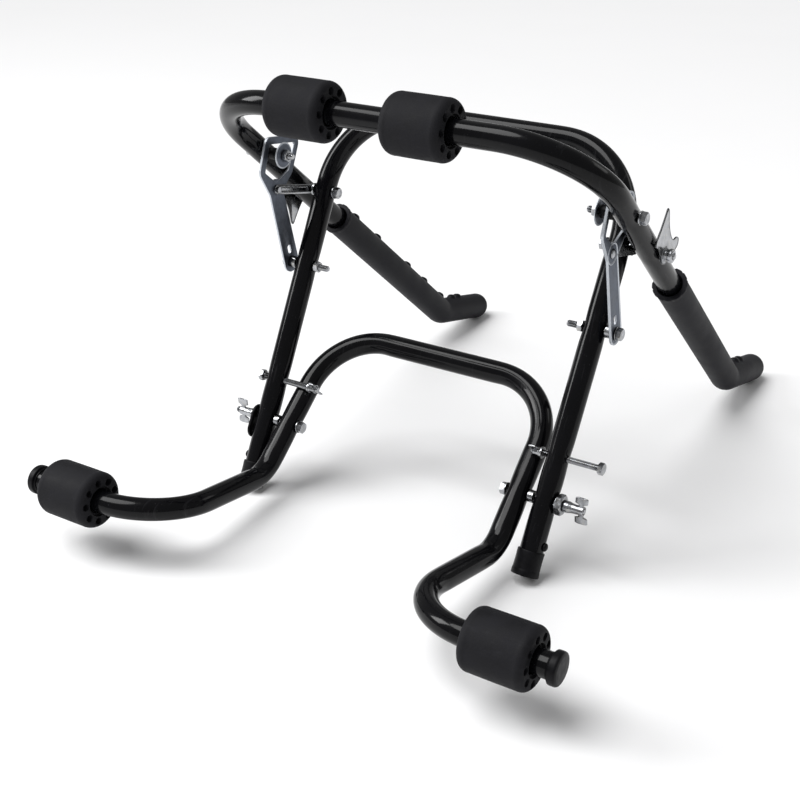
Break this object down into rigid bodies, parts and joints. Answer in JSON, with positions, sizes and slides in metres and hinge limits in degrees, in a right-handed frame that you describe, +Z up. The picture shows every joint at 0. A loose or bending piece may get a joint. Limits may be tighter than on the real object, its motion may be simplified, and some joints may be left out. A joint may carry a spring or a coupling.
{
  "type": "boot bicycle carrier",
  "caption": "Boot-mounted bicycle carrier of bent black tube: crossed main frame and cradle arms, a folding foot hoop, black rollers, grips and zinc wing nuts.",
  "frame": {"origin": "on the ground, in the middle of the carrier's outline", "axes": "+Z up, +Y towards the ends of the cradle arms, +X to the right when looking along +Y"},
  "size_m": [0.704, 0.9216, 0.5431],
  "materials": {
    "enamel": "gloss black enamel",
    "grip": "matte charcoal grip",
    "foam": "matte black moulded roller",
    "rubber": "satin black rubber",
    "zinc": "bright zinc plate",
    "galvanised": "dull zinc plate"
  },
  "bodies": {
    "main_body": {"anchor_plate_left": "rubber", "bracket_bolt_left": "zinc", "bracket_bolt_right": "zinc", "bracket_nut_left": "zinc", "bracket_nut_right": "zinc", "bracket_spacer_left": "zinc", "bracket_spacer_right": "zinc", "crossing_bolt_left": "zinc", "crossing_bolt_right": "zinc", "crossing_spacer_left": "zinc", "crossing_spacer_right": "zinc", "leg_cap_left": "rubber", "leg_cap_right": "rubber", "leg_plug_left": "rubber", "leg_plug_right": "rubber", "main_frame": "enamel", "pivot_bolt_left": "zinc", "pivot_bolt_right": "zinc", "pivot_collar_right": "zinc", "pivot_spacer_left": "zinc", "pivot_spacer_right": "zinc", "plate_pin_left": "zinc", "plate_pin_right": "zinc", "side_plate_left": "galvanised", "side_plate_right": "galvanised", "strap_bar_left": "zinc", "strap_bar_right": "zinc"},
    "arms": {"arm_bolt_left": "zinc", "arm_bolt_right": "zinc", "arm_disc_left": "galvanised", "arm_disc_right": "galvanised", "arm_frame": "enamel", "arm_nut_left": "zinc", "arm_nut_right": "zinc", "arm_sleeve_left": "grip", "arm_sleeve_right": "grip", "arm_spacer_left": "rubber", "arm_spacer_right": "rubber"},
    "foot_hoop": {"foot_cap_left": "rubber", "foot_cap_right": "rubber", "foot_frame": "enamel"},
    "lever_left": {"clamp_lever_left": "zinc"},
    "lever_right": {"clamp_lever_right": "zinc"},
    "pivot_wing_left": {"pivot_wing_nut_left": "zinc"},
    "pivot_wing_right": {"pivot_wing_nut_right": "zinc"},
    "lower_roller_left": {"roller_lower_left": "foam"},
    "lower_roller_right": {"roller_lower_right": "foam"},
    "upper_roller_left": {"roller_upper_left": "foam"},
    "upper_roller_right": {"roller_upper_right": "foam"},
    "stop_left": {"stop_bolt_left": "zinc"},
    "stop_right": {"stop_bolt_right": "zinc"},
    "stop_wing_left": {"stop_wing_nut_left": "zinc"},
    "stop_wing_right": {"stop_wing_nut_right": "zinc"}
  },
  "joints": [
    {"name": "arm_swing", "type": "hinge", "parent": "main_body", "child": "arms", "pos_m": [0, -0.01397, 0.34773], "axis": [1, 0, 0], "range_deg": [-2.5, 6]},
    {"name": "foot_fold", "type": "hinge", "parent": "main_body", "child": "foot_hoop", "pos_m": [0, -0.1671, 0.08568], "axis": [-1, 0, 0], "range_deg": [0, 90]},
    {"name": "upper_roller_slide_left", "type": "slide", "parent": "arms", "child": "upper_roller_left", "axis": [1, 0, 0], "range_m": [-0.006, 0.034]},
    {"name": "lower_roller_spin_left", "type": "hinge", "parent": "foot_hoop", "child": "lower_roller_left", "pos_m": [-0.284, -0.4268, 0.07718], "axis": [1, 0, 0], "continuous": true},
    {"name": "lever_spin_left", "type": "hinge", "parent": "main_body", "child": "lever_left", "pos_m": [-0.25885, -0.01397, 0.34773], "axis": [1, 0, 0], "continuous": true},
    {"name": "pivot_wing_spin_left", "type": "hinge", "parent": "main_body", "child": "pivot_wing_left", "pos_m": [-0.21542, -0.1671, 0.08568], "axis": [1, 0, 0], "continuous": true},
    {"name": "stop_slide_left", "type": "slide", "parent": "main_body", "child": "stop_left", "axis": [1, 0, 0], "range_m": [0, 0.005]},
    {"name": "stop_wing_spin_left", "type": "hinge", "parent": "stop_left", "child": "stop_wing_left", "pos_m": [-0.17228, -0.14086, 0.13059], "axis": [1, 0, 0], "continuous": true},
    {"name": "upper_roller_slide_right", "type": "slide", "parent": "arms", "child": "upper_roller_right", "axis": [1, 0, 0], "range_m": [-0.036, 0.05]},
    {"name": "lower_roller_spin_right", "type": "hinge", "parent": "foot_hoop", "child": "lower_roller_right", "pos_m": [0.288, -0.4268, 0.07718], "axis": [1, 0, 0], "continuous": true},
    {"name": "lever_spin_right", "type": "hinge", "parent": "main_body", "child": "lever_right", "pos_m": [0.25885, -0.01397, 0.34773], "axis": [1, 0, 0], "continuous": true},
    {"name": "pivot_wing_spin_right", "type": "hinge", "parent": "main_body", "child": "pivot_wing_right", "pos_m": [0.21542, -0.1671, 0.08568], "axis": [1, 0, 0], "continuous": true},
    {"name": "stop_slide_right", "type": "slide", "parent": "main_body", "child": "stop_right", "axis": [1, 0, 0], "range_m": [0, 0.005]},
    {"name": "stop_wing_spin_right", "type": "hinge", "parent": "stop_right", "child": "stop_wing_right", "pos_m": [0.17228, -0.14086, 0.13059], "axis": [1, 0, 0], "range_deg": [-5, 5]}
  ]
}
